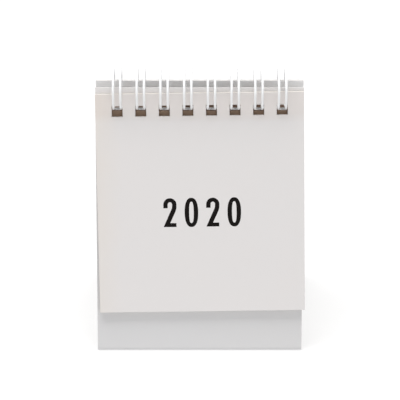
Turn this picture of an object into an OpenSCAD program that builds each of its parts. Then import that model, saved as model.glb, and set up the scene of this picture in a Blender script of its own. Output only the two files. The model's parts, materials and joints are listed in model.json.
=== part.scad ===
// Small desk calendar: a tent stand folded from one card, and square leaves hung on a twin-loop wire comb.
// Millimetres. +Z is up, the calendar faces -Y, and the origin is the middle of the stand's resting face.

/* [Stand] */
// Width of the folded card
stand_w = 75; // [60:0.5:110]
// Length of each leaning panel, from the fold to its top edge
panel_len = 99.6; // [80:0.5:130]
// Depth of the base, from the front fold to the back fold
base_depth = 56; // [46:0.5:70]
// Distance between the outer faces of the two panels at the top
top_gap = 6.4; // [5.8:0.1:6.8]
// Thickness of the card
card_t = 0.7; // [0.4:0.05:1]
// Inside radius of the two folds
fold_r = 0.5; // [0.2:0.1:2]
// Width of the scored crease along the middle of the base
crease_w = 1.2; // [0.4:0.1:3]
// Depth of that crease
crease_depth = 0.2; // [0.05:0.05:0.3]
// Card left between the panel's top edge and its holes
stand_margin = 4.5; // [4:0.1:5]

/* [Punching] */
// Side of each square hole
hole_size = 4; // [3.7:0.1:4.5]
// Distance between neighbouring holes, three to the inch
hole_pitch = 8.467; // [7.5:0.001:9]
// Number of holes in a row
hole_count = 8; // [4:1:8]

/* [Leaves] */
// Width of a leaf
leaf_w = 75; // [70:0.5:110]
// Length of a leaf, from its bound edge to its free edge
leaf_len = 82; // [60:0.5:94]
// Thickness of one month's leaf
leaf_t = 0.08; // [0.06:0.01:0.1]
// Number of months' leaves
leaf_count = 12; // [6:1:13]
// Thickness of the cover leaf
cover_t = 0.3; // [0.15:0.05:0.4]
// Paper left between the bound edge and the holes
leaf_margin = 4.4; // [3:0.1:4.6]
// Tilt of the hung leaves in their own plane, in degrees
leaf_tilt = 0.8; // [0:0.1:1]

/* [Wire] */
// Diameter of the wire
wire_d = 0.9; // [0.7:0.05:1]
// Inside diameter of a closed loop
loop_bore = 13.4; // [13:0.1:14]
// Distance between the two wires of a loop
finger_w = 2.6; // [1.6:0.1:2.7]
// Radius of the bends at the spine
spine_r = 1.1; // [0.6:0.1:1.5]
// Where a closed tip begins, as an angle about the comb's axis from straight back, through the top
tip_angle = 243; // [238:1:250]

/* [Fits] */
// Clearance where the wire rests in the card's holes
seat_fit = 0.1; // [0.05:0.01:0.2]
// Clearance between the wire and the top edges of the leaves' holes
hang_fit = 0.1; // [0.05:0.01:0.2]
// Air between the stand's face and the leaves, so that they clear its top edge as they turn over
turn_fit = 0.25; // [0.2:0.01:0.4]
// Air between the months' leaves and the cover
lie_fit = 0.05; // [0.02:0.01:0.1]
// Gap between a loop's closed tip and the spine
tip_gap = 0.4; // [0.2:0.1:1]

/* [Hidden] */
eps = 0.5; // cutters reach this far past a face
$fn = 48;

block_t = leaf_count * leaf_t;
comb_r = (loop_bore + wire_d) / 2; // radius of the wire's centre line
row_len = (hole_count - 1) * hole_pitch;

// The panels lean in, so that they stand top_gap apart at the top
lean = asin((base_depth - top_gap) / 2 / panel_len);
fold_out = fold_r + card_t; // outside radius of a fold
fold_y = base_depth / 2 - fold_out * tan(45 + lean / 2); // the rear fold's centre
fold_flats = 12; // flats round each fold

// In profile [y, z]: the front panel's top outer corner, the way down it and the way out of it
front_top = [panel_len * sin(lean) - base_depth / 2, panel_len * cos(lean)];
front_down = [-sin(lean), -cos(lean)];
front_out = [-cos(lean), sin(lean)];

// The comb rests on the bottom edges of the front holes and against the top edges of the rear holes
seat_low = front_top + front_down * (stand_margin + hole_size) - front_out * card_t;
seat_high = [stand_margin * sin(lean) - front_top[0], front_top[1] - stand_margin * cos(lean)];
comb = circles_meet(
    seat_low, comb_r + wire_d / 2 + seat_fit,
    seat_high, comb_r - wire_d / 2 - seat_fit
);

// Measured from the comb's axis: how far below it the panel's top edge lies, and how far in front its face
comb_drop = (comb - front_top) * front_down;
face_off = (front_top - comb) * front_out;

// Along the panel from its top edge: the top of the leaves' holes at the row's lower end, which hangs on the wire
hang_r = comb_r - wire_d / 2 - hang_fit;
cover_z = turn_fit + block_t + lie_fit; // the cover's back, in front of the stand's face
cover_off = face_off + cover_z + cover_t;
hang = comb_drop + sqrt(hang_r * hang_r - cover_off * cover_off);
tilt_drop = (row_len + hole_size) / 2 * sin(leaf_tilt);
row_at = hang - tilt_drop + hole_size / 2; // middle of the leaves' hole row

// The spine lies just past the tips, round the comb's axis
tip_turn = atan((finger_w + wire_d) / 2 / comb_r);
gap_turn = atan(tip_gap / comb_r);
bend_turn = atan((spine_r + wire_d / 2) / comb_r);
spine_angle = tip_angle + tip_turn + gap_turn + bend_turn;
wire_turn = 360 - (spine_angle - tip_angle); // how far a ring runs about the comb's axis
plug_step = 0.02; // the spine's wire is this much thinner, so that its ends plug into the loops' ends
plug_turn = 5; // how far a plug runs on, round its bend

// Where two circles meet, on the left of the line from a to b
function circles_meet(a, ra, b, rb) =
    let (
        span = norm(b - a),
        way = (b - a) / span,
        along = (ra * ra - rb * rb + span * span) / (2 * span),
        aside = sqrt(ra * ra - along * along)
    )
    a + way * along + [-way[1], way[0]] * aside;

// Turns a profile in [y, z], drawn in the XY plane, so that it stands across the X axis
module across() {
    rotate([90, 0, 90]) children();
}

// Square holes in a row centred on X, through everything from z0 to z1
module hole_row(z0, z1) {
    for (i = [0 : hole_count - 1])
        translate([i * hole_pitch - (row_len + hole_size) / 2, -hole_size / 2, z0])
            cube([hole_size, hole_size, z1 - z0]);
}

// Lays its children on the front panel's outer face: X along the top edge, Y up to it and Z out of the face
module on_panel() {
    translate([0, front_top[0], front_top[1]])
        rotate([90 - lean, 0, 0])
            children();
}

// The rear fold in profile, from the base up to the panel, at radius r
function fold_line(r) = [
    for (i = [0 : fold_flats])
        let (a = (90 + lean) * i / fold_flats - 90)
        [fold_y, fold_out] + r * [cos(a), sin(a)]
];

// The same outline, seen in a mirror and run backwards
function mirrored(line) = [for (i = [len(line) - 1 : -1 : 0]) [-line[i][0], line[i][1]]];

// The card in profile [y, z]: out round the rear fold to the panel's top, back down, and the same again in front
function card_profile() =
    let (
        inner_fold = fold_line(fold_r),
        top_outside = [-front_top[0], front_top[1]],
        top_inside = top_outside - card_t * [cos(lean), sin(lean)],
        rear = concat(
            fold_line(fold_out),
            [top_outside, top_inside],
            [for (i = [fold_flats : -1 : 0]) inner_fold[i]]
        ),
        crease = [[crease_w / 2, card_t], [0, card_t - crease_depth], [-crease_w / 2, card_t]]
    )
    concat(rear, crease, mirrored(rear));

// The card, folded into a tent and scored along the middle of its base
module stand() {
    color("whitesmoke")
        difference() {
            across()
                translate([0, 0, -stand_w / 2])
                    linear_extrude(height = stand_w)
                        polygon(card_profile());
            for (side = [0, 1])
                mirror([0, side, 0])
                    on_panel()
                        translate([0, -stand_margin - hole_size / 2, 0])
                            hole_row(-card_t - eps, eps);
        }
}

// A bend in a wire of diameter d, in the XY plane and round the origin
module wire_bend(r, d, from, turn) {
    rotate([0, 0, from])
        rotate_extrude(angle = turn)
            translate([r, 0])
                circle(d = d, $fn = 24);
}

// Lays its children on the comb's round, straight behind its axis: X along the comb and Y along a loop
module on_round() {
    translate([0, comb_r, 0])
        rotate([90, 0, 0])
            mirror([0, 0, 1])
                children();
}

// A loop: the round closed tip, and its two wires over the top and down to the spine
module loop() {
    rotate([tip_angle, 0, 0]) {
        on_round() wire_bend(finger_w / 2, wire_d, 0, 180);
        mirror([0, 0, 1])
            for (side = [-1, 1])
                translate([side * finger_w / 2, 0, 0])
                    across() wire_bend(comb_r, wire_d, 0, wire_turn);
    }
}

// The spine between two loops: a bend, a straight and a bend
module spine_bar() {
    straight = hole_pitch - finger_w - 2 * spine_r;
    d = wire_d - plug_step;
    rotate([spine_angle, 0, 0])
        on_round()
            mirror([0, 1, 0]) {
                for (side = [0, 1])
                    mirror([side, 0, 0])
                        translate([straight / 2, 0, 0])
                            wire_bend(spine_r, d, -plug_turn, 90 + plug_turn);
                translate([-straight / 2, spine_r, 0])
                    rotate([0, 90, 0])
                        cylinder(d = d, h = straight, $fn = 24);
            }
}

// The comb: one wire, bent into pairs, with a closed tip on each loop and a spine that joins the loops
module wire_binding() {
    color("white")
        translate([-row_len / 2, comb[0], comb[1]]) {
            for (i = [0 : hole_count - 1])
                translate([i * hole_pitch, 0, 0]) loop();
            for (i = [0 : hole_count - 2])
                translate([(i + 0.5) * hole_pitch, 0, 0]) spine_bar();
        }
}

// A sheet or stack of paper hung on the comb: z0 is how far its back lies in front of the stand's face
module hung_paper(z0, t) {
    on_panel()
        translate([0, -row_at, z0])
            rotate([0, 0, leaf_tilt])
                difference() {
                    translate([-leaf_w / 2, leaf_margin + hole_size / 2 - leaf_len, 0])
                        cube([leaf_w, leaf_len, t]);
                    hole_row(-eps, t + eps);
                }
}

// The months' leaves, lying together against the stand
module page_block() {
    color("ivory") hung_paper(turn_fit, block_t);
}

// The cover leaf, in front of the months
module cover_sheet() {
    color("snow") hung_paper(cover_z, cover_t);
}

stand();
wire_binding();
page_block();
cover_sheet();
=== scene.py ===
import json
from math import asin, atan2, copysign, cos, pi, radians, sin, sqrt, tan

import bmesh
import bpy
from bpy.props import FloatProperty, FloatVectorProperty, IntProperty, PointerProperty
from mathutils import Matrix, Vector


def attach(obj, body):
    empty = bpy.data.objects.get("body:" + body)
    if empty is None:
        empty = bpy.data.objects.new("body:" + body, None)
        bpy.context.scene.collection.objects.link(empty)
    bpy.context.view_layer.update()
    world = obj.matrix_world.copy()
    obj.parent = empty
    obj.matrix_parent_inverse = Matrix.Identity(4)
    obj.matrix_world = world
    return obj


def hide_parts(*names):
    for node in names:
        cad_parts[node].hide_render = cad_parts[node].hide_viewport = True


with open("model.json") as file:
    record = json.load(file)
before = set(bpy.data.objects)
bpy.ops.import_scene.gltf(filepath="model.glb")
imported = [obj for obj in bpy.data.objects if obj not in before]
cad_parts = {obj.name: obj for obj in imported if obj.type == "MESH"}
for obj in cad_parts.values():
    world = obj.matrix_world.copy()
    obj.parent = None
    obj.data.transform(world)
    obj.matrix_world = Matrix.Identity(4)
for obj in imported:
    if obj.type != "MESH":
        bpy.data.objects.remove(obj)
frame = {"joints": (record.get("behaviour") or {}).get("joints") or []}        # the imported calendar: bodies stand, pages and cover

bl_info = {
    "name": "Desk Calendar",
    "version": (1, 0, 0),
    "blender": (4, 5, 0),
    "location": "View3D > Sidebar > Desk Calendar",
    "description": "Builds a small tent desk calendar: folded card, wire comb, leaves and printed cover",
    "category": "Add Mesh",
}

MM = 0.001
WELD = 0.0005 * MM      # points that lie closer than this are one
COMB_AXIS = frame["joints"][0]["pos_m"]     # the leaves turn about the comb's own axis


# Sizes and colours

def size(name, description, mm):
    """A length, given in millimetres."""
    return FloatProperty(name=name, description=description, default=mm * MM, unit="LENGTH",
                         precision=5)


def angle(name, description, degrees):
    return FloatProperty(name=name, description=description, default=radians(degrees), subtype="ANGLE")


def colour(name, description, rgb):
    return FloatVectorProperty(name=name, description=description, default=rgb, subtype="COLOR",
                               min=0, max=1)


class CalendarSizes(bpy.types.PropertyGroup):
    """Sizes of the card, the punching, the leaves and the wire."""
    card_width: size("Card width", "Width of the folded card", 75)
    panel_length: size("Panel length", "Length of a leaning panel, from the fold to its top edge", 99.6)
    base_depth: size("Base depth", "Distance between the two folds", 56)
    top_gap: size("Top gap", "Distance between the outer faces of the two panels at the top", 6.4)
    card_thickness: size("Card thickness", "Thickness of the folded card", 0.7)
    fold_radius: size("Fold radius", "Inside radius of the two folds", 0.5)
    crease_width: size("Crease width", "Width of the crease along the middle of the base", 1.2)
    crease_depth: size("Crease depth", "Depth of that crease", 0.2)
    card_margin: size("Card margin", "Card left between the panel's top edge and its holes", 4.5)
    # painted shade: the brown strip stands for the dark warm shade seen through the leaves' holes
    shade_strip_margin: size("Strip margin", "How far the brown strip reaches below the card's holes", 2.4)
    facing: size("Facing", "How far the white facing reaches down inside from the top edges", 11.6)
    hole: size("Hole", "Side of a square hole", 4)
    pitch: size("Pitch", "Distance between neighbouring holes", 8.467)
    holes: IntProperty(name="Holes", description="Holes in a row", default=8, min=2)
    leaf_width: size("Leaf width", "Width of a leaf", 75)
    leaf_length: size("Leaf length", "Length of a leaf, from its bound edge to its free edge", 82)
    leaf_margin: size("Leaf margin", "Paper left between the bound edge and the holes", 4.4)
    leaf_tilt: angle("Leaf tilt", "Tilt of the hung leaves in their own plane", 0.8)
    leaf_count: IntProperty(name="Leaves", description="Months' leaves", default=12, min=1)
    leaf_spacing: size("Leaf spacing", "Thickness that a leaf takes up in the stack", 0.08)
    leaf_thickness: size("Leaf thickness", "Thickness of one leaf's paper", 0.066)
    leaf_slip: size("Leaf slip", "How far a leaf may lie off its neighbours", 0.09)
    leaf_air: size("Leaf air", "Air between the card and the first leaf", 0.25)
    cover_air: size("Cover air", "Air between the leaves and the cover", 0.05)
    cover_thickness: size("Cover thickness", "Thickness of the cover", 0.3)
    cut_edge: size("Cut edge", "Width of the softened edges of card and cover", 0.035)
    wire: size("Wire", "Diameter of the enamelled wire", 0.9)
    loop_bore: size("Loop bore", "Inside diameter of a closed loop", 13.4)
    finger_width: size("Finger width", "Distance between the two wires of a loop", 2.6)
    spine_radius: size("Spine radius", "Radius of the bends at the spine", 1.1)
    tip_gap: size("Tip gap", "Gap between a loop's closed tip and the spine", 0.4)
    tip_angle: angle("Tip angle", "Where a closed tip begins, from straight back through the top", 243)
    hang_fit: size("Hang fit", "Clearance between the wire and the top edges of the leaves' holes", 0.1)


class CalendarPrint(bpy.types.PropertyGroup):
    """Sizes of the printed numbers."""
    digit_height: size("Digit height", "Height of the cover's digits", 10.7)
    digit_width: size("Digit width", "Width of the cover's digits", 4.6)
    digit_pitch: size("Digit pitch", "Distance between neighbouring digits", 7.77)
    first_digit: size("First digit", "Middle of the first digit, from the cover's middle", -11.27)
    baseline: size("Baseline", "Foot of the digits, below the hole row's middle", 43.25)
    ink: size("Ink", "How far the ink stands off the paper", 0.012)
    ink_depth: size("Ink depth", "How far the cover's digits reach into the paper", 0.05)
    day_height: size("Day height", "Height of the day numbers on the month's leaf", 2.6)
    day_step_x: size("Day column", "Distance between the columns of days", 9)
    day_step_y: size("Day row", "Distance between the rows of days", 9.5)
    first_days: size("First days", "Foot of the first row of days, below the hole row's middle", 20)


class CalendarColours(bpy.types.PropertyGroup):
    """Colours of the paper, the wire and the ink."""
    card: colour("Card", "White face of the folded card", (0.735, 0.719, 0.718))
    turn_in: colour("Turn-in", "White facing turned in at the card's top edges", (0.955, 0.955, 0.955))
    # painted shade: the brown inside gives the dark warm shade inside the tent, seen through the holes
    back: colour("Card back", "Bare brown inside of the card", (0.33, 0.235, 0.18))
    core: colour("Core", "Cut edges of card and cover", (0.66, 0.65, 0.64))
    # painted shade: brown paper on the card round its holes and on its hole walls, for the shade seen
    # through the leaves' holes
    strip: colour("Strip", "Brown paper strip on the card, round its holes", (0.32, 0.225, 0.16))
    leaf: colour("Leaf", "Months' leaves", (0.85, 0.84, 0.82))
    leaf_edge: colour("Leaf edge", "Cut edges of the leaves", (0.76, 0.67, 0.56))
    # painted shade: the leaves' hole walls are dark brown for the shade inside the holes
    leaf_hole_shade: colour("Leaf hole", "Walls of the leaves' holes", (0.30, 0.23, 0.18))
    cover: colour("Cover", "Cover leaf", (0.743, 0.725, 0.722))
    # painted shade: the wire loops' shade on the cover round its holes, darker and warmer
    loop_shade: colour("Handled", "Share of the cover's colour left by its holes", (0.962, 0.937, 0.918))
    # painted light: a warm tint of light towards the cover's left edge
    warm_left: colour("Aged", "Share of the cover's colour left at its left edge", (1.0, 0.982, 0.95))
    # painted shade: the card darker and a little cooler towards its foot
    foot_shade: colour("Grounded", "Share of the card's colour left at its foot", (0.9, 0.918, 0.929))
    ink: colour("Ink", "Printed numbers", (0.0055, 0.004, 0.0035))
    wire: colour("Wire", "Enamel on the wire", (0.86, 0.87, 0.88))
    floor: colour("Floor", "Pale floor under the calendar", (0.85, 0.85, 0.85))


class CalendarStage(bpy.types.PropertyGroup):
    """Camera and light."""
    camera_height: angle("Camera height", "Angle at which the camera looks down", 29.887)
    camera_distance: size("Camera distance", "From the camera to the point it looks at", 973.47)
    look_height: size("Look height", "Height of the point that the camera looks at", 48)
    lens: FloatProperty(name="Lens", description="Focal length in millimetres", default=237.604)
    shift_x: FloatProperty(name="Shift X", description="Sideways shift of the picture", default=0.000914)
    shift_y: FloatProperty(name="Shift Y", description="Upward shift of the picture", default=0.001124)
    sky: FloatProperty(name="Sky", description="Light from all round", default=0.55, min=0)
    key: FloatProperty(name="Key", description="Lamp overhead", default=12.2, unit="POWER")
    fill: FloatProperty(name="Fill", description="Lamp in front on the right", default=1.0, unit="POWER")
    floor_size: size("Floor size", "Half the side of the floor", 5000)


# Where things are

class Layout:
    """Places worked out from the sizes, in the frame: X along the comb, Z up, leaves facing -Y."""

    def __init__(self, s):
        self.s = s
        self.lean = asin((s.base_depth - s.top_gap) / 2 / s.panel_length)
        self.panel_top = Vector((0, s.panel_length * sin(self.lean) - s.base_depth / 2,
                                 s.panel_length * cos(self.lean)))
        self.up = Vector((0, sin(self.lean), cos(self.lean)))
        self.out = Vector((0, -cos(self.lean), sin(self.lean)))
        self.row_length = (s.holes - 1) * s.pitch
        self.comb_axis = Vector((0, *COMB_AXIS[1:]))
        self.leaves_front = s.leaf_air + s.leaf_count * s.leaf_spacing
        self.cover_back = self.leaves_front + s.cover_air
        self.cover_front = self.cover_back + s.cover_thickness
        self.row_drop = self.hung_row_drop()

    def hung_row_drop(self):
        """How far the middle of the leaves' hole row lies below the panel's top edge, down its face.

        The row's lower end hangs on the wire's inner side, by the top edge of the cover's last hole.
        """
        s = self.s
        from_comb = self.panel_top - self.comb_axis
        hang_radius = s.loop_bore / 2 - s.hang_fit
        cover_off = from_comb.dot(self.out) + self.cover_front
        hang = from_comb.dot(self.up) + sqrt(hang_radius ** 2 - cover_off ** 2)
        tilt_drop = (self.row_length + s.hole) / 2 * sin(s.leaf_tilt)
        return hang - tilt_drop + s.hole / 2

    def on_leaf(self, x, y, off):
        """A point on the hung paper: x along the hole row, y up from it, off out of the card's face."""
        across, along = Matrix.Rotation(self.s.leaf_tilt, 2) @ Vector((x, y))
        on_face = self.panel_top + Vector((across, 0, 0)) + self.up * (along - self.row_drop)
        return on_face + self.out * off

    def leaf_place(self, off):
        """Where a hung sheet lies, as a matrix: X along its hole row, Y up it and Z out of its face."""
        middle = self.on_leaf(0, 0, off)
        x_way = (self.on_leaf(1, 0, off) - middle).normalized()
        y_way = (self.on_leaf(0, 1, off) - middle).normalized()
        place = Matrix((x_way, y_way, self.out)).transposed().to_4x4()
        place.translation = middle
        return place

    def hole_edges(self):
        """Where the sides of the holes are, from left to right."""
        middles = [i * self.s.pitch - self.row_length / 2 for i in range(self.s.holes)]
        return [middle + side * self.s.hole / 2 for middle in middles for side in (-1, 1)]


# Meshes and objects

def new_object(name, mesh, materials=()):
    piece = bpy.data.objects.new(name, mesh)
    for material in materials:
        mesh.materials.append(material)
    bpy.context.scene.collection.objects.link(piece)
    return piece


def baked(piece):
    """The piece as it looks with its modifiers, as a plain mesh under the same name."""
    graph = bpy.context.evaluated_depsgraph_get()
    mesh = bpy.data.meshes.new_from_object(piece.evaluated_get(graph))
    name, materials = piece.name, list(piece.data.materials)
    bpy.data.objects.remove(piece)
    mesh.name = name
    if not len(mesh.materials):
        for material in materials:
            mesh.materials.append(material)
    return new_object(name, mesh)


# the fifth slot, the brown strip round the card's holes, is painted shade
OUTER, INNER, EDGE, PUNCHED, SHADE_STRIP, TURNED_IN = range(6)     # a sheet's material slots


def sheet_mesh(name, columns, rows, is_hole, zones=None):
    """A sheet of card or paper with square holes.

    columns are places along X and rows are pairs of points, the outer and the inner one at X = 0.
    Cells for which is_hole(column, row) is true are left out, and walls are built round them.
    zones gives other material slots for the faces of some rows, by side and row.
    """
    bm = bmesh.new()
    corners = {}
    zones = zones or {}

    def corner(i, j, side):
        if (i, j, side) not in corners:
            corners[i, j, side] = bm.verts.new(rows[j][side] + Vector((columns[i], 0, 0)))
        return corners[i, j, side]

    def solid(i, j):
        return 0 <= i < len(columns) - 1 and 0 <= j < len(rows) - 1 and not is_hole(i, j)

    def wall(a, b, neighbour):
        inside = 0 <= neighbour[0] < len(columns) - 1 and 0 <= neighbour[1] < len(rows) - 1
        face = bm.faces.new([corner(*a, 0), corner(*b, 0), corner(*b, 1), corner(*a, 1)])
        face.material_index = PUNCHED if inside else EDGE

    for i in range(len(columns) - 1):
        for j in range(len(rows) - 1):
            if not solid(i, j):
                continue
            ring = [(i, j), (i + 1, j), (i + 1, j + 1), (i, j + 1)]
            for side in (OUTER, INNER):
                face = bm.faces.new([corner(*at, side) for at in ring])
                face.material_index = zones.get((side, j), side)
            for k, neighbour in enumerate([(i, j - 1), (i + 1, j), (i, j + 1), (i - 1, j)]):
                if not solid(*neighbour):
                    wall(ring[k], ring[(k + 1) % 4], neighbour)
    bmesh.ops.recalc_face_normals(bm, faces=bm.faces)
    mesh = bpy.data.meshes.new(name)
    bm.to_mesh(mesh)
    bm.free()
    return mesh


SOFTENED_FROM, SHARP_FROM = radians(60), radians(20)     # between two faces


def soften(piece, width):
    """Takes the sharpness off cut edges, and shades the piece smooth but for the edges that stay."""
    bevel = piece.modifiers.new("Cut edge", "BEVEL")
    bevel.width = width
    bevel.segments = 2
    bevel.limit_method = "ANGLE"
    bevel.angle_limit = SOFTENED_FROM
    piece = baked(piece)
    piece.data.shade_smooth()
    piece.data.set_sharp_from_angle(angle=SHARP_FROM)
    return piece


# Nodes

ACROSS_SHEET = (0.35, 1, 1)        # stretches a pattern along X, into fibres
THROUGH_STACK = (0.15, 1, 0.15)    # stretches it along the sheets, into the lines of a cut stack
WARMER = (1.012, 0.998, 0.99)      # the tone of the clouds in paper, as a share of its own
FIBRE_SHADE = 0.93                 # paper lies half way to this share of its colour
FIBRE_SWING = 0.09                 # how much its fibres move it about there
CLOUDED = 0.6                      # how far the clouds break up the start of another tone
STACK_LINES = 0.09 * MM            # the size of the lines in a cut stack
TOOTH, TOOTH_DEPTH = 0.12 * MM, 0.03 * MM      # the size and depth of the bumps in paper


class Value:
    """A socket in a node tree. Arithmetic on it adds Math nodes."""

    def __init__(self, tree, socket):
        self.tree = tree
        self.socket = socket

    def math(self, operation, *values, **settings):
        settings["operation"] = operation
        return self.tree.node("ShaderNodeMath", settings, dict(enumerate(values)))

    def __add__(self, other):
        return self.math("ADD", self, other)

    def __radd__(self, other):
        return self.math("ADD", other, self)

    def __sub__(self, other):
        return self.math("SUBTRACT", self, other)

    def __rsub__(self, other):
        return self.math("SUBTRACT", other, self)

    def __mul__(self, other):
        return self.math("MULTIPLY", self, other)

    def __rmul__(self, other):
        return self.math("MULTIPLY", other, self)

    def clamped(self):
        return self.math("MULTIPLY", self, 1, use_clamp=True)

    def spread(self, gain, middle=0.5):
        """The value's swing about a half, gain times as wide and about middle, kept between 0 and 1."""
        return ((self - 0.5) * gain + middle).clamped()

    def sibling(self, output):
        """Another output of the same node."""
        return Value(self.tree, self.socket.node.outputs[output])


class Tree:
    """A node tree, and the one way in which nodes are added to it."""

    def __init__(self, owner):
        self.nodes = owner.nodes
        self.links = owner.links

    def node(self, kind, settings=None, sockets=None, output=0):
        made = self.nodes.new(kind)
        for name, value in (settings or {}).items():
            setattr(made, name, value)
        self.feed(made, sockets or {})
        if not made.outputs:
            return None
        return Value(self, made.outputs[output])

    def feed(self, node, sockets):
        """Gives a node's sockets their values or links. A list links several values to one socket."""
        for key, value in sockets.items():
            if isinstance(value, (Value, list)):
                for each in value if isinstance(value, list) else [value]:
                    self.links.new(each.socket, node.inputs[key])
            else:
                node.inputs[key].default_value = value

    def own(self, kind):
        """The node of this kind that a new material or world already has."""
        return next(node for node in self.nodes if node.type == kind)

    def noise(self, where, size_m, detail=2, roughness=0.5):
        """Noise with patches of about size_m metres."""
        sockets = {"Vector": where, "Scale": 1 / size_m, "Detail": detail, "Roughness": roughness}
        return self.node("ShaderNodeTexNoise", {}, sockets)

    def mix(self, factor, a, b, blend="MIX"):
        """A colour between a and b."""
        a, b = (value if isinstance(value, Value) else (*value, 1) for value in (a, b))
        settings = {"data_type": "RGBA", "blend_type": blend}
        return self.node("ShaderNodeMix", settings, {0: factor, 6: a, 7: b}, output=2)

    def bump(self, strength, depth, height):
        """A bumpy normal, with bumps about depth metres high."""
        sockets = {"Strength": strength, "Distance": depth, "Height": height}
        return self.node("ShaderNodeBump", {}, sockets)


def material(name):
    """An empty material with its tree, its Principled shader and the place on the object."""
    made = bpy.data.materials.new(name)
    made.use_nodes = True
    tree = Tree(made.node_tree)
    return made, tree, tree.own("BSDF_PRINCIPLED"), tree.node("ShaderNodeTexCoord", output=3)


def scaled(rgb, by):
    return tuple(min(1, c * by) for c in rgb)


def paper(name, rgb, fibre=0.35, cloud=14, relief=0.12, edge=None, painted_tones=()):
    """Matt paper: clouds of slightly warmer tone, fine fibres across the sheet, and a soft tooth.

    fibre and cloud are sizes in millimetres. Each tone is painted light or shade: an axis, where on it
    the tone starts and is full, and the colour that it multiplies by. With an edge colour it is a cut
    stack, which has fine lines in place of clouds and tones.
    """
    made, tree, shader, where = material(name)
    along = tree.node("ShaderNodeMapping", {}, {"Vector": where, "Scale": ACROSS_SHEET})
    fibres = tree.noise(along, fibre * MM, detail=4, roughness=0.62)
    if edge is None:
        clouds = tree.noise(where, cloud * MM, detail=3)
        warmer = tuple(min(1, c * w) for c, w in zip(rgb, WARMER))
        cloudy = tree.mix(clouds.spread(2), rgb, warmer)
        base = tree.mix(fibres.spread(FIBRE_SWING), scaled(rgb, FIBRE_SHADE), cloudy)
        for axis, start, full, share in painted_tones:
            place = tree.node("ShaderNodeSeparateXYZ", {}, {0: where}, output=axis)
            ramp = (place - start) * (1 / (full - start))
            reach = (ramp + (clouds - 0.5) * CLOUDED).clamped()
            base = tree.mix(reach, base, share, "MULTIPLY")
    else:
        lines = tree.node("ShaderNodeMapping", {}, {"Vector": where, "Scale": THROUGH_STACK})
        base = tree.mix(tree.noise(lines, STACK_LINES).spread(1.8), edge, rgb)
    tooth = fibres * 0.7 + tree.noise(where, TOOTH) * 0.3
    tree.feed(shader, {
        "Base Color": base,
        "Roughness": 0.82 + (fibres - 0.5) * 0.12,
        "Normal": tree.bump(relief, TOOTH_DEPTH, tooth),
        "Specular IOR Level": 0.25,
    })
    return made


def enamel(name, rgb):
    """White enamel on wire: an even coat with slight waves and a soft gloss."""
    made, tree, shader, where = material(name)
    waves = tree.noise(where, 1.6 * MM)
    specks = tree.noise(where, 0.25 * MM, detail=3)
    tree.feed(shader, {
        "Base Color": tree.mix(waves.spread(1.6), scaled(rgb, 0.965), rgb),
        "Roughness": 0.28 + specks * 0.16,
        "Normal": tree.bump(0.15, 0.02 * MM, waves + specks * 0.3),
        "Coat Weight": 0.35,
        "Coat Roughness": 0.15,
    })
    return made


def printed_ink(name, rgb):
    """Black ink with a little of the paper's tooth showing through."""
    made, tree, shader, where = material(name)
    grain = tree.noise(where, 0.16 * MM, detail=3)
    worn = tuple(c + 0.006 for c in rgb)
    tree.feed(shader, {
        "Base Color": tree.mix(grain.spread(2, middle=0.4), rgb, worn),
        "Roughness": 0.5 + grain * 0.25,
        "Normal": tree.bump(0.1, 0.01 * MM, grain),
        "Specular IOR Level": 0.06,
    })
    return made


# Stage

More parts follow.
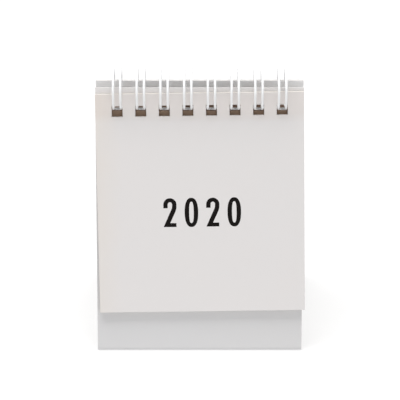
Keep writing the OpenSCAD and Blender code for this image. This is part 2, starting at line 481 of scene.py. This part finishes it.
class CALENDAR_OT_stage(bpy.types.Operator):
    """Sets up the camera, the pale floor and the soft light"""
    bl_idname = "calendar.stage"
    bl_label = "Stage"

    KEY_PLACE, KEY_SIDES, KEY_TINT = (-0.1, -0.03, 1.15), (1, 0.36), (1, 0.99, 0.98)
    FILL_PLACE, FILL_SIDES, FILL_TINT = (0.35, -1.1, 0.55), (0.7, 0.7), (0.955, 0.975, 1)
    LIT_POINT = Vector((0, 0, 0.05))
    WHITE = (1, 1, 1, 1)
    FLOOR_WHITE, FLOOR_WHITE_SHARE = 1.08, 0.65     # the glow that the camera sees on the floor

    def execute(self, context):
        stage = context.scene.calendar_stage
        self.camera(context, stage)
        self.floor(context.scene.calendar_colours.floor, stage.floor_size)
        self.sky(context, stage.sky)
        self.lamp(context, "key_lamp", self.KEY_PLACE, self.KEY_SIDES, stage.key, self.KEY_TINT)
        self.lamp(context, "fill_lamp", self.FILL_PLACE, self.FILL_SIDES, stage.fill, self.FILL_TINT)
        context.scene.view_settings.view_transform = "Standard"
        return {"FINISHED"}

    def camera(self, context, stage):
        data = bpy.data.cameras.new("camera")
        data.sensor_width = 36
        data.lens = stage.lens
        data.shift_x = stage.shift_x
        data.shift_y = stage.shift_y
        data.clip_start = 0.01
        data.clip_end = 50
        camera = bpy.data.objects.new("camera", data)
        camera.location = (0, -stage.camera_distance * cos(stage.camera_height),
                           stage.look_height + stage.camera_distance * sin(stage.camera_height))
        camera.rotation_euler = (pi / 2 - stage.camera_height, 0, 0)
        context.scene.collection.objects.link(camera)
        context.scene.camera = camera

    def floor(self, rgb, half):
        """A pale floor that the camera sees nearly white, with the calendar's shadow on it."""
        made, tree, shader, where = material("pale_floor")
        tone = tree.noise(where, 0.4, detail=1)
        tree.feed(shader, {
            "Base Color": tree.mix(tone, scaled(rgb, 0.995), rgb),
            "Roughness": 0.9,
            "Specular IOR Level": 0.1,
        })
        seen = tree.node("ShaderNodeLightPath")
        white = tree.node("ShaderNodeEmission", {}, {"Color": self.WHITE, "Strength": self.FLOOR_WHITE})
        surface = Value(tree, shader.outputs[0])
        shares = {0: seen * self.FLOOR_WHITE_SHARE, 1: surface, 2: white}
        shown = tree.node("ShaderNodeMixShader", {}, shares)
        tree.feed(tree.own("OUTPUT_MATERIAL"), {"Surface": shown})
        mesh = bpy.data.meshes.new("floor")
        below = -0.02 * MM
        corners = ((-half, -half), (half, -half), (half, half), (-half, half))
        mesh.from_pydata([(x, y, below) for x, y in corners], [], [(0, 1, 2, 3)])
        new_object("floor", mesh, [made])

    def sky(self, context, strength):
        """Even light from all round, which the camera and gloss see as plain white."""
        world = bpy.data.worlds.new("even_light")
        world.use_nodes = True
        tree = Tree(world.node_tree)
        light = tree.own("BACKGROUND")
        tree.feed(light, {"Color": self.WHITE, "Strength": strength})
        white = tree.node("ShaderNodeBackground", {}, {"Color": self.WHITE, "Strength": 1})
        ray = tree.node("ShaderNodeLightPath")
        seen = (ray + ray.sibling("Is Glossy Ray") + ray.sibling("Is Transmission Ray")).clamped()
        even = Value(tree, light.outputs[0])
        shown = tree.node("ShaderNodeMixShader", {}, {0: seen, 1: even, 2: white})
        tree.feed(tree.own("OUTPUT_WORLD"), {"Surface": shown})
        context.scene.world = world

    def lamp(self, context, name, place, sides, power, rgb):
        """A soft box with its first side level, turned to the middle of the calendar."""
        data = bpy.data.lights.new(name, "AREA")
        data.shape = "RECTANGLE"
        data.size, data.size_y = sides
        data.energy = power
        data.color = rgb
        lamp = bpy.data.objects.new(name, data)
        lamp.location = place
        back = (lamp.location - self.LIT_POINT).normalized()
        across = (Vector((1, 0, 0)) - back * back.x).normalized()
        lamp.rotation_euler = Matrix((across, back.cross(across), back)).transposed().to_euler()
        context.scene.collection.objects.link(lamp)


# The card

class CALENDAR_OT_folded_card(bpy.types.Operator):
    """Builds the card: one sheet folded into a tent, with two rows of square holes"""
    bl_idname = "calendar.folded_card"
    bl_label = "Folded Card"

    FOLD_STEPS = 20
    # painted shade: the card turns darker towards its foot
    FOOT_SHADE = (0.9, 0.4)      # where the card's lower tone starts and is full, as shares of its height

    def execute(self, context):
        sizes = context.scene.calendar_sizes
        colours = context.scene.calendar_colours
        layout = Layout(sizes)
        half = sizes.card_width / 2
        columns = [-half, *layout.hole_edges(), half]
        rows, kinds = self.profile(layout)
        front_rows = range(len(rows) // 2)
        zones = {(INNER, j): TURNED_IN for j, kind in enumerate(kinds) if kind != "plain"}
        # painted shade: the front's outer faces round the holes take the brown strip
        zones.update({(OUTER, j): SHADE_STRIP for j in front_rows if kinds[j] in ("holes", "strip")})

        def is_hole(i, j):
            return kinds[j] == "holes" and i % 2 == 1

        mesh = sheet_mesh("folded_card", columns, rows, is_hole, zones)
        # painted shade, darker towards the card's foot
        heights = [share * layout.panel_top.z for share in self.FOOT_SHADE]
        face = paper("card_face", colours.card, cloud=22, relief=0.1,
                     painted_tones=[("Z", *heights, colours.foot_shade)])
        core = paper("card_core", colours.core, fibre=0.2, relief=0.3)
        # painted shade: the strip colour is also used on the card's hole walls, for the shade seen
        # through the leaves' holes
        strip = paper("card_shade_strip", colours.strip, fibre=0.2, relief=0.3)
        # painted shade: the inside below the white facing is brown for the dark warm shade inside the
        # tent
        back = paper("card_back_shade", colours.back, fibre=0.5, cloud=9, relief=0.25)
        turn_in = paper("card_turn_in", colours.turn_in, cloud=16)
        card = new_object("folded_card", mesh, [face, back, core, strip, strip, turn_in])
        card = soften(card, sizes.cut_edge)
        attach(card, "stand")
        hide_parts("stand")
        return {"FINISHED"}

    def profile(self, layout):
        """Pairs of points from the front's top round the folds to the rear's, and what lies between."""
        s = layout.s
        outer_fold = s.fold_radius + s.card_thickness
        fold_y = s.base_depth / 2 - outer_fold * tan(pi / 4 + layout.lean / 2)

        def fold_points(step):
            angle = -pi / 2 + (pi / 2 + layout.lean) * step / self.FOLD_STEPS
            way = Vector((0, cos(angle), sin(angle)))
            middle = Vector((0, fold_y, outer_fold))
            return middle + outer_fold * way, middle + s.fold_radius * way

        def mirrored(point):
            return Vector((0, -point.y, point.z))

        def panel_points(drop):
            outer = layout.panel_top - layout.up * drop
            return mirrored(outer), mirrored(outer - layout.out * s.card_thickness)

        hole_foot = s.card_margin + s.hole
        drops = (s.facing, hole_foot + s.shade_strip_margin, hole_foot, s.card_margin,
                 s.card_margin - s.shade_strip_margin / 2, 0)
        rear = [fold_points(step) for step in range(self.FOLD_STEPS + 1)]
        rear += [panel_points(drop) for drop in drops]
        rear_kinds = ["plain"] * (self.FOLD_STEPS + 1) + ["facing", "strip", "holes", "strip", "top"]
        front = [tuple(mirrored(p) for p in pair) for pair in reversed(rear)]
        half = s.crease_width / 2
        crease = [(Vector((0, y, 0)), Vector((0, y, s.card_thickness - (0 if y else s.crease_depth))))
                  for y in (-half, 0, half)]
        kinds = rear_kinds[::-1] + ["plain"] * (len(crease) + 1) + rear_kinds
        return front + crease + rear, kinds


# The comb

LEG_STEPS, TIP_STEPS, BEND_STEPS = 72, 14, 7     # straights in a loop's wire, its round tip and a bend
WIRE_SIDES = 18


def comb_lines(layout):
    """The wire's centre line in points: one loop with its closed tip, and one stretch of the spine."""
    s = layout.s
    ring = (s.loop_bore + s.wire) / 2
    half = s.finger_width / 2
    tip_turn = atan2((s.finger_width + s.wire) / 2, ring)
    gap_turn = atan2(s.tip_gap, ring)
    bend_turn = atan2(s.spine_radius + s.wire / 2, ring)
    spine_angle = s.tip_angle + tip_turn + gap_turn + bend_turn
    middle = Vector((-layout.row_length / 2, 0, 0)) + layout.comb_axis

    def around(angle):
        """The way out of the comb's axis at this angle, and the way on round it."""
        return Vector((0, cos(angle), sin(angle))), Vector((0, -sin(angle), cos(angle)))

    def leg(x):
        first = spine_angle - 2 * pi
        angles = [first + (s.tip_angle - first) * i / LEG_STEPS for i in range(LEG_STEPS + 1)]
        return [middle + Vector((x, 0, 0)) + ring * around(angle)[0] for angle in angles]

    way, on = around(s.tip_angle)
    turns = [pi * i / TIP_STEPS for i in range(1, TIP_STEPS)]
    tip = [middle + ring * way + half * (Vector((-cos(turn), 0, 0)) + sin(turn) * on) for turn in turns]
    loop = leg(-half) + tip + leg(half)[::-1]

    way, on = around(spine_angle)
    start = middle + ring * way + Vector((half, 0, 0))
    turns = [pi / 2 * i / BEND_STEPS for i in range(BEND_STEPS + 1)]
    first_bend = [start + s.spine_radius * (Vector((1 - cos(turn), 0, 0)) - sin(turn) * on)
                  for turn in turns]
    mid_x = start.x + (s.pitch - s.finger_width) / 2
    second_bend = [Vector((2 * mid_x - p.x, p.y, p.z)) for p in reversed(first_bend)]
    return loop, first_bend + second_bend


def geometry_tree(name, inputs):
    """A new geometry node tree: its group, its Tree, and its inputs with the geometry first."""
    group = bpy.data.node_groups.new(name, "GeometryNodeTree")
    group.interface.new_socket("Geometry", in_out="INPUT", socket_type="NodeSocketGeometry")
    for title, kind in inputs:
        group.interface.new_socket(title, in_out="INPUT", socket_type="NodeSocket" + kind)
    group.interface.new_socket("Geometry", in_out="OUTPUT", socket_type="NodeSocketGeometry")
    tree = Tree(group)
    given = tree.node("NodeGroupInput")
    return group, tree, [given.sibling(i) for i in range(len(inputs) + 1)]


def comb_tree():
    """Geometry nodes: repeats the loop and the spine along the comb and gives them the wire's girth."""
    group, tree, given = geometry_tree("TwinLoopComb", (
        ("Loops", "Int"), ("Pitch", "Float"), ("Wire Diameter", "Float"), ("Sides", "Int"),
        ("Enamel", "Material")))
    lines, loops, pitch, wire, sides, coat = given
    is_spine = tree.node("GeometryNodeInputNamedAttribute", {"data_type": "BOOLEAN"}, {"Name": "spine"})
    spine_line = tree.node("GeometryNodeSeparateGeometry", {"domain": "POINT"}, {0: lines, 1: is_spine})
    loop_line = spine_line.sibling(1)
    step = tree.node("ShaderNodeCombineXYZ", {}, {0: pitch})

    def repeated(line, count):
        points = tree.node("GeometryNodeMeshLine", {"mode": "OFFSET"}, {"Count": count, "Offset": step})
        return tree.node("GeometryNodeInstanceOnPoints", {}, {"Points": points, "Instance": line})

    both = [repeated(loop_line, loops), repeated(spine_line, loops - 1)]
    joined = tree.node("GeometryNodeJoinGeometry", {}, {0: both})
    whole = tree.node("GeometryNodeRealizeInstances", {}, {0: joined})
    welded = tree.node("GeometryNodeMergeByDistance", {}, {"Geometry": whole, "Distance": WELD})
    line = tree.node("GeometryNodeMeshToCurve", {}, {0: welded})
    girth = tree.node("GeometryNodeCurvePrimitiveCircle", {},
                      {"Resolution": sides, "Radius": wire * 0.5})
    tube = tree.node("GeometryNodeCurveToMesh", {},
                     {"Curve": line, "Profile Curve": girth, "Fill Caps": True})
    smooth = tree.node("GeometryNodeSetShadeSmooth", {}, {0: tube})
    real = tree.node("GeometryNodeRealizeInstances", {}, {0: smooth})
    done = tree.node("GeometryNodeSetMaterial", {}, {"Geometry": real, "Material": coat})
    tree.node("NodeGroupOutput", {}, {0: done})
    return group


def run_nodes(piece, group, values):
    """Runs a geometry node tree on the piece and returns the result as a plain mesh."""
    modifier = piece.modifiers.new(group.name, "NODES")
    modifier.node_group = group
    for item in group.interface.items_tree:
        if item.in_out == "INPUT" and item.name in values:
            modifier[item.identifier] = values[item.name]
    return baked(piece)


class CALENDAR_OT_comb(bpy.types.Operator):
    """Bends the twin-loop comb from one enamelled wire"""
    bl_idname = "calendar.comb"
    bl_label = "Wire Comb"

    def execute(self, context):
        sizes = context.scene.calendar_sizes
        layout = Layout(sizes)
        loop, spine = comb_lines(layout)
        points = loop + spine
        edges = [(i - 1, i) for i in range(1, len(points)) if i != len(loop)]
        mesh = bpy.data.meshes.new("wire_comb")
        mesh.from_pydata(points, edges, [])
        mark = mesh.attributes.new("spine", "BOOLEAN", "POINT")
        mark.data.foreach_set("value", [False] * len(loop) + [True] * len(spine))
        coat = enamel("white_enamel", context.scene.calendar_colours.wire)
        comb = run_nodes(new_object("wire_comb", mesh, [coat]), comb_tree(), {
            "Loops": sizes.holes,
            "Pitch": sizes.pitch,
            "Wire Diameter": sizes.wire,
            "Sides": WIRE_SIDES,
            "Enamel": coat,
        })
        if len(comb.data.polygons) == 0:
            raise RuntimeError("the comb's node tree gave no faces")
        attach(comb, "stand")
        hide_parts("wire_binding")
        return {"FINISHED"}


# The leaves

def stack_tree():
    """Geometry nodes: lays copies of one leaf on each other, each a little off its neighbours."""
    group, tree, given = geometry_tree("LeafStack", (
        ("Leaves", "Int"), ("Step", "Vector"), ("Slip", "Vector"), ("Seed", "Int"),
        ("Paper", "Material"), ("Cut Paper", "Material"), ("Punched Paper", "Material")))
    leaf, leaves, step, slip, seed, face, cut, punched = given
    points = tree.node("GeometryNodeMeshLine", {"mode": "OFFSET"}, {"Count": leaves, "Offset": step})
    stack = tree.node("GeometryNodeInstanceOnPoints", {}, {"Points": points, "Instance": leaf})
    back = tree.node("ShaderNodeVectorMath", {"operation": "SCALE"}, {0: slip, "Scale": -1})
    chance = tree.node("FunctionNodeRandomValue", {"data_type": "FLOAT_VECTOR"},
                       {0: back, 1: slip, "Seed": seed})
    moved = tree.node("GeometryNodeTranslateInstances", {}, {"Instances": stack, "Translation": chance})
    done = tree.node("GeometryNodeRealizeInstances", {}, {0: moved})
    done = tree.node("GeometryNodeSetMaterial", {}, {"Geometry": done, "Material": face})
    for mark, finish in (("cut", cut), ("punched", punched)):
        marked = tree.node("GeometryNodeInputNamedAttribute", {"data_type": "BOOLEAN"}, {"Name": mark})
        sockets = {"Geometry": done, "Selection": marked, "Material": finish}
        done = tree.node("GeometryNodeSetMaterial", {}, sockets)
    tree.node("NodeGroupOutput", {}, {0: done})
    return group


def hung_sheet(name, layout, back, front, trim=0):
    """The mesh of a hung sheet with its row of holes, narrower than the cover by trim on each side."""
    s = layout.s
    top = s.leaf_margin + s.hole / 2
    half = s.leaf_width / 2 - trim
    columns = [-half, *layout.hole_edges(), half]
    lines = [top, s.hole / 2, -s.hole / 2, top - s.leaf_length]
    rows = [(Vector((0, y, front)), Vector((0, y, back))) for y in lines]

    def is_hole(i, j):
        return j == 1 and i % 2 == 1

    mesh = sheet_mesh(name, columns, rows, is_hole)
    mesh.transform(layout.leaf_place(0))
    return mesh


class CALENDAR_OT_leaves(bpy.types.Operator):
    """Stacks the months' leaves on the comb and prints a plain grid of days on the first one"""
    bl_idname = "calendar.leaves"
    bl_label = "Month Leaves"

    SEED = 7
    DAYS, DAYS_IN_ROW = 31, 7
    FIGURE_SHARE = 0.7      # a figure's height as a share of the font's size

    def execute(self, context):
        sizes = context.scene.calendar_sizes
        colours = context.scene.calendar_colours
        layout = Layout(sizes)
        mesh = hung_sheet("month_leaves", layout, sizes.leaf_air, sizes.leaf_air + sizes.leaf_thickness,
                          trim=sizes.leaf_slip)
        for name, kind in (("cut", EDGE), ("punched", PUNCHED)):
            mark = mesh.attributes.new(name, "BOOLEAN", "FACE")
            mark.data.foreach_set("value", [p.material_index == kind for p in mesh.polygons])
        mesh.polygons.foreach_set("material_index", [0] * len(mesh.polygons))
        face = paper("month_paper", colours.leaf)
        leaves = run_nodes(new_object("month_leaves", mesh, [face]), stack_tree(), {
            "Leaves": sizes.leaf_count,
            "Step": layout.out * sizes.leaf_spacing,
            "Slip": Vector((sizes.leaf_slip, 0, 0)) + layout.up * (sizes.leaf_slip / 3),
            "Seed": self.SEED,
            "Paper": face,
            "Cut Paper": paper("month_paper_cut", colours.leaf, edge=colours.leaf_edge),
            # painted shade: dark brown hole walls for the shade inside the holes
            "Punched Paper": paper("month_paper_hole_shade", colours.leaf_hole_shade, fibre=0.2),
        })
        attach(leaves, "pages")
        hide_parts("page_block")
        self.days(context, layout)
        return {"FINISHED"}

    def days(self, context, layout):
        """The days of a month in plain numbers, seven to a row."""
        prints = context.scene.calendar_print
        deep = layout.s.leaf_thickness / 2
        first_leaf = layout.leaves_front - layout.s.leaf_spacing
        place = layout.leaf_place(first_leaf + layout.s.leaf_thickness)
        meshes = []
        for day in range(self.DAYS):
            row, column = divmod(day, self.DAYS_IN_ROW)
            x = (column - (self.DAYS_IN_ROW - 1) / 2) * prints.day_step_x
            y = -(prints.first_days + row * prints.day_step_y)
            spot = place @ Matrix.Translation((x, y, 0))
            text = bpy.data.curves.new("day", "FONT")
            text.body = str(day + 1)
            text.align_x = "CENTER"
            text.size = prints.day_height / self.FIGURE_SHARE / MM
            text.resolution_u = 4
            meshes.append(printed(context, text, spot, prints.ink, deep))
        ink = printed_ink("leaf_ink", context.scene.calendar_colours.ink)
        days = print_piece("month_days", meshes, ink)
        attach(days, "pages")


# Print

def printed(context, drawing, place, proud, deep):
    """A curve or text in millimetres as a mesh that reaches into the paper and stands a hair off it."""
    drawing.extrude = (proud + deep) / 2 / MM
    helper = bpy.data.objects.new(drawing.name, drawing)
    context.scene.collection.objects.link(helper)
    mesh = bpy.data.meshes.new_from_object(helper.evaluated_get(context.evaluated_depsgraph_get()))
    bpy.data.objects.remove(helper)
    mesh.transform(place @ Matrix.Translation((0, 0, (proud - deep) / 2)) @ Matrix.Scale(MM, 4))
    return mesh


def print_piece(name, meshes, ink):
    """Printed meshes as one piece, with their doubles merged and their faces pointing out."""
    bm = bmesh.new()
    for mesh in meshes:
        bm.from_mesh(mesh)
        bpy.data.meshes.remove(mesh)
    bmesh.ops.remove_doubles(bm, verts=bm.verts, dist=WELD)
    bmesh.ops.recalc_face_normals(bm, faces=bm.faces)
    mesh = bpy.data.meshes.new(name)
    bm.to_mesh(mesh)
    bm.free()
    return new_object(name, mesh, [ink])


def arc(middle, rx, ry, first, last, steps):
    angles = [first + (last - first) * i / steps for i in range(steps + 1)]
    return [(middle[0] + rx * cos(a), middle[1] + ry * sin(a)) for a in angles]


def bend_between(a, a_way, b, b_way, steps=10):
    """Points on a smooth curve that leaves a along a_way and reaches b along b_way."""
    ends = Vector(a), Vector(a) + Vector(a_way), Vector(b) - Vector(b_way), Vector(b)
    points = []
    for i in range(1, steps):
        t = i / steps
        shares = (1 - t) ** 3, 3 * t * (1 - t) ** 2, 3 * t * t * (1 - t), t ** 3
        points.append(tuple(sum((share * end for share, end in zip(shares, ends)), Vector((0, 0)))))
    return points


def oval(middle, rx, ry, power, steps=56):
    """A rounded oval that is fuller than an ellipse where power is above 2."""
    points = []
    for i in range(steps):
        x, y = cos(2 * pi * i / steps), sin(2 * pi * i / steps)
        points.append((middle[0] + rx * copysign(abs(x) ** (2 / power), x),
                       middle[1] + ry * copysign(abs(y) ** (2 / power), y)))
    return points


DIGIT_BOX = (4.6, 10.7)     # the millimetres in which the digits are drawn, with their foot at 0


def digit_two():
    """Outlines of a narrow 2: over the top, down to the foot, and back up inside the bow."""
    over = arc((2.3, 8.3), 2.39, 2.49, pi, 0, 22)
    down = bend_between((4.69, 8.3), (0, -1.36), (4.07, 5.26), (-0.52, -1.18))
    foot = [(4.07, 5.26), (2.32, 1.39), (4.56, 1.39), (4.56, -0.06), (-0.09, -0.06), (2.46, 5.74)]
    back_up = bend_between((2.46, 5.74), (0.52, 1.18), (3.11, 8.34), (0, 1.3))
    under = arc((2.3, 8.34), 0.81, 0.96, 0, pi, 16)
    return [[(-0.09, 7.02), *over, *down, *foot, *back_up, *under, (1.49, 7.02)]]


def digit_zero():
    """Outlines of a narrow 0: its outer oval and the one inside."""
    middle = [side / 2 for side in DIGIT_BOX]
    return [oval(middle, 2.46, 5.5, 2.35), oval(middle, 0.83, 4.02, 2.7)]


# The cover

class CALENDAR_OT_cover(bpy.types.Operator):
    """Cuts the cover leaf and prints four plain digits on it"""
    bl_idname = "calendar.cover"
    bl_label = "Cover"

    DIGITS = (digit_two, digit_zero, digit_two, digit_zero)
    # painted shade of the wire loops below the bound edge
    LOOP_SHADE = (10.5, 7)     # millimetres from the bound edge at which its tone starts and is full
    # painted warm light towards the left edge
    WARM_LEFT = (9, 1)           # the same from the left edge

    def execute(self, context):
        sizes = context.scene.calendar_sizes
        colours = context.scene.calendar_colours
        layout = Layout(sizes)
        mesh = hung_sheet("cover_leaf", layout, layout.cover_back, layout.cover_front)
        bound_edge = sizes.leaf_margin + sizes.hole / 2
        # painted shade of the wire loops, darker and warmer towards the bound edge
        heights = [layout.on_leaf(0, bound_edge - drop * MM, 0).z for drop in self.LOOP_SHADE]
        # painted warm light, warmer towards the cover's left edge
        aside = [inwards * MM - sizes.leaf_width / 2 for inwards in self.WARM_LEFT]
        face = paper("cover_stock", colours.cover, cloud=18,
                     painted_tones=[("Z", *heights, colours.loop_shade), ("X", *aside, colours.warm_left)])
        cut = paper("cover_stock_cut", colours.core, relief=0.2)
        punched = paper("cover_stock_punched", scaled(colours.cover, 0.9), relief=0.2)
        cover = soften(new_object("cover_leaf", mesh, [face, face, cut, punched]), sizes.cut_edge)
        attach(cover, "cover")
        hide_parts("cover_sheet")
        self.digits(context, layout)
        return {"FINISHED"}

    def digits(self, context, layout):
        prints = context.scene.calendar_print
        scale_x = prints.digit_width / DIGIT_BOX[0]
        scale_y = prints.digit_height / DIGIT_BOX[1]
        drawing = bpy.data.curves.new("digits", "CURVE")
        drawing.dimensions = "2D"
        drawing.fill_mode = "BOTH"
        for i, digit in enumerate(self.DIGITS):
            left = prints.first_digit + i * prints.digit_pitch - prints.digit_width / 2
            for outline in digit():
                spline = drawing.splines.new("POLY")
                spline.points.add(len(outline) - 1)
                spline.use_cyclic_u = True
                for point, (x, y) in zip(spline.points, outline):
                    point.co = ((left + x * scale_x) / MM, (y * scale_y - prints.baseline) / MM, 0, 1)
        place = layout.leaf_place(layout.cover_front)
        mesh = printed(context, drawing, place, prints.ink, prints.ink_depth)
        ink = printed_ink("cover_ink", context.scene.calendar_colours.ink)
        digits = print_piece("cover_digits", [mesh], ink)
        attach(digits, "cover")


# Panel and registration

class CALENDAR_PT_sidebar(bpy.types.Panel):
    """The sizes, colours and steps of the desk calendar"""
    bl_label = "Desk Calendar"
    bl_space_type = "VIEW_3D"
    bl_region_type = "UI"
    bl_category = "Desk Calendar"

    def draw(self, context):
        for step in STEPS:
            self.layout.operator(step.bl_idname)
        for group in PROPERTIES:
            box = self.layout.box()
            settings = getattr(context.scene, group)
            for name in settings.__annotations__:
                box.prop(settings, name)


STEPS = (
    CALENDAR_OT_stage,
    CALENDAR_OT_folded_card,
    CALENDAR_OT_comb,
    CALENDAR_OT_leaves,
    CALENDAR_OT_cover,
)
PROPERTIES = {
    "calendar_sizes": CalendarSizes,
    "calendar_print": CalendarPrint,
    "calendar_colours": CalendarColours,
    "calendar_stage": CalendarStage,
}


def register():
    for cls in (*PROPERTIES.values(), *STEPS, CALENDAR_PT_sidebar):
        bpy.utils.register_class(cls)
    for name, cls in PROPERTIES.items():
        setattr(bpy.types.Scene, name, PointerProperty(type=cls))


def unregister():
    for name in PROPERTIES:
        delattr(bpy.types.Scene, name)
    for cls in reversed((*PROPERTIES.values(), *STEPS, CALENDAR_PT_sidebar)):
        bpy.utils.unregister_class(cls)


def main():
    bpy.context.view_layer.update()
    register()
    for step in STEPS:
        group, name = step.bl_idname.split(".")
        getattr(getattr(bpy.ops, group), name)()


if __name__ == "__main__":
    main()
